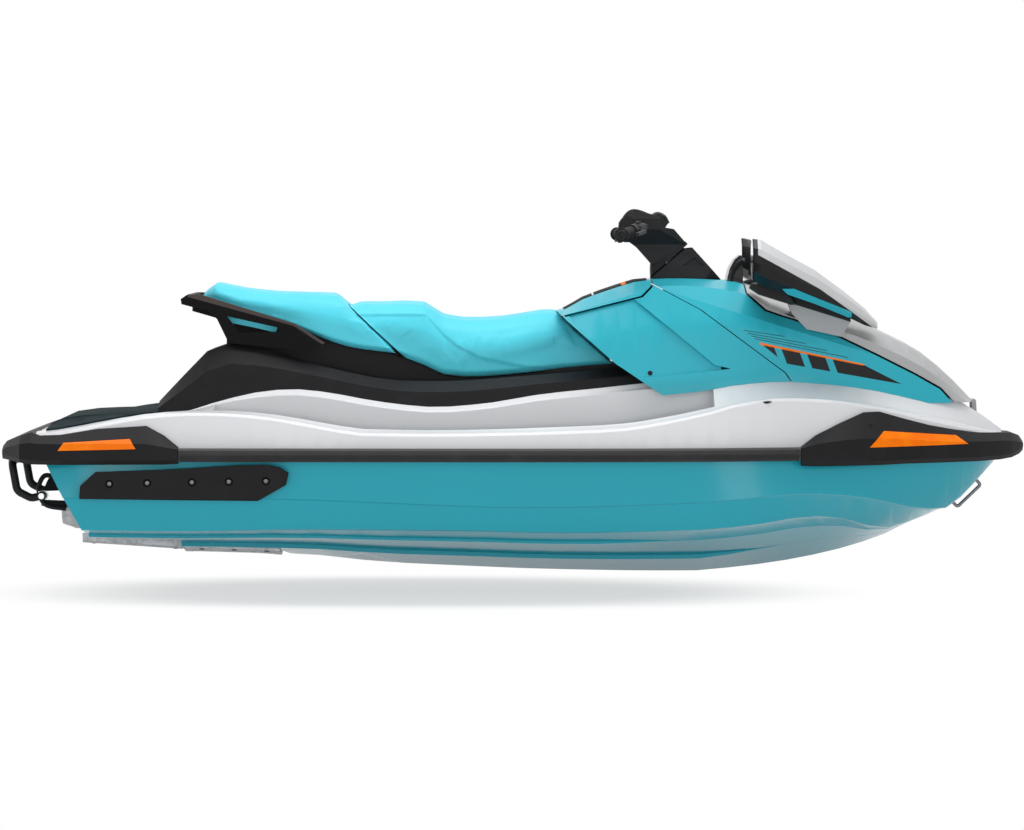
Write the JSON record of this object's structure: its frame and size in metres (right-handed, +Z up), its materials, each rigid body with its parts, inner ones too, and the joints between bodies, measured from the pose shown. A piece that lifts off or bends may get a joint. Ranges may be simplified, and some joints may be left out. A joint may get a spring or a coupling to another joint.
{
  "type": "personal watercraft",
  "caption": "Sit-on jet-driven personal watercraft with stepped seats, handlebar, mirrors, side sponsons, opening bow hood and folding stern step.",
  "frame": {"origin": "on the still waterline, on the centre plane, half way along the overall length", "axes": "+X to the bow, +Y to port, +Z up"},
  "size_m": [3.35, 1.226, 1.199],
  "materials": {
    "hull_teal": "glossy teal gelcoat",
    "body_teal": "glossy teal panels",
    "deck_white": "glossy pale silver white",
    "panel_silver": "glossy silver metallic",
    "trim_black": "grained black plastic",
    "strip_grey": "satin grey",
    "accent_orange": "satin orange",
    "seat_vinyl": "soft cyan marine vinyl",
    "mat_dark": "ribbed foam",
    "panel_black": "gloss black",
    "mirror_pane": "silvered",
    "grip_rubber": "soft ribbed",
    "cast_alloy": "cast and painted",
    "steel_bright": "stainless",
    "engine_grey": "painted casting"
  },
  "bodies": {
    "craft": {"hull_shell": "hull_teal", "deck_moulding": "deck_white", "rub_rails": "trim_black", "rail_strips": "strip_grey", "bow_bumper": "trim_black", "bow_inserts": "accent_orange", "stern_bumper": "trim_black", "stern_inserts": "accent_orange", "sponsons": "trim_black", "front_seat": "seat_vinyl", "seat_surround": "trim_black", "seat_tray": "trim_black", "hood_hinge": "steel_bright", "front_cowl": "body_teal", "side_cowls": "body_teal", "bow_bin": "trim_black", "glovebox_bin": "trim_black", "column_cover": "trim_black", "display_pod": "panel_black", "pump_housing": "cast_alloy", "ride_plate": "cast_alloy", "intake_grate": "cast_alloy", "step_brackets": "steel_bright", "engine_block": "engine_grey", "deck_mats": "mat_dark", "bow_eye": "steel_bright"},
    "steering": {"handlebar": "trim_black", "steering_head": "trim_black", "steering_shaft": "steel_bright", "grips": "grip_rubber", "levers": "trim_black"},
    "nozzle": {"steering_nozzle": "cast_alloy"},
    "drive": {"impeller": "steel_bright", "drive_shaft": "steel_bright"},
    "bucket": {"reverse_bucket": "trim_black"},
    "bonnet": {"hood": "panel_silver", "mirror_housings": "panel_silver", "mirror_inserts": "body_teal", "mirror_glass": "mirror_pane", "mirror_stays": "trim_black"},
    "glovebox_cover": {"glovebox_lid": "body_teal"},
    "rear_saddle": {"rear_seat": "seat_vinyl", "grab_handle": "trim_black"},
    "step": {"boarding_step": "trim_black"}
  },
  "joints": [
    {"name": "steer_turn", "type": "hinge", "parent": "craft", "child": "steering", "pos_m": [0.497, 0, 0.762], "axis": [-0.6521, 0, 0.7581], "range_deg": [-20, 20]},
    {"name": "nozzle_yaw", "type": "hinge", "parent": "craft", "child": "nozzle", "pos_m": [-1.437, 0, -0.045], "axis": [0, 0, 1], "range_deg": [-20, 20]},
    {"name": "drive_spin", "type": "hinge", "parent": "craft", "child": "drive", "pos_m": [-1.275, 0, -0.045], "axis": [1, 0, 0], "continuous": true},
    {"name": "bucket_drop", "type": "hinge", "parent": "craft", "child": "bucket", "pos_m": [-1.385, 0, -0.045], "axis": [0, -1, 0], "range_deg": [0, 24]},
    {"name": "hood_lift", "type": "hinge", "parent": "craft", "child": "bonnet", "pos_m": [1.512, 0, 0.306], "axis": [0, 1, 0], "range_deg": [0, 50]},
    {"name": "glovebox_lift", "type": "hinge", "parent": "craft", "child": "glovebox_cover", "pos_m": [0.437, 0, 0.712], "axis": [0, 1, 0], "range_deg": [0, 28]},
    {"name": "rear_seat_slide", "type": "slide", "parent": "craft", "child": "rear_saddle", "axis": [-0.78, 0, 0.6258], "range_m": [0, 0.3]},
    {"name": "step_fold", "type": "hinge", "parent": "craft", "child": "step", "pos_m": [-1.563, 0, 0.002], "axis": [0, -1, 0], "range_deg": [0, 110]}
  ],
  "couplings": [
    {"joint": "nozzle_yaw", "follows": "steer_turn", "ratio": -1}
  ]
}
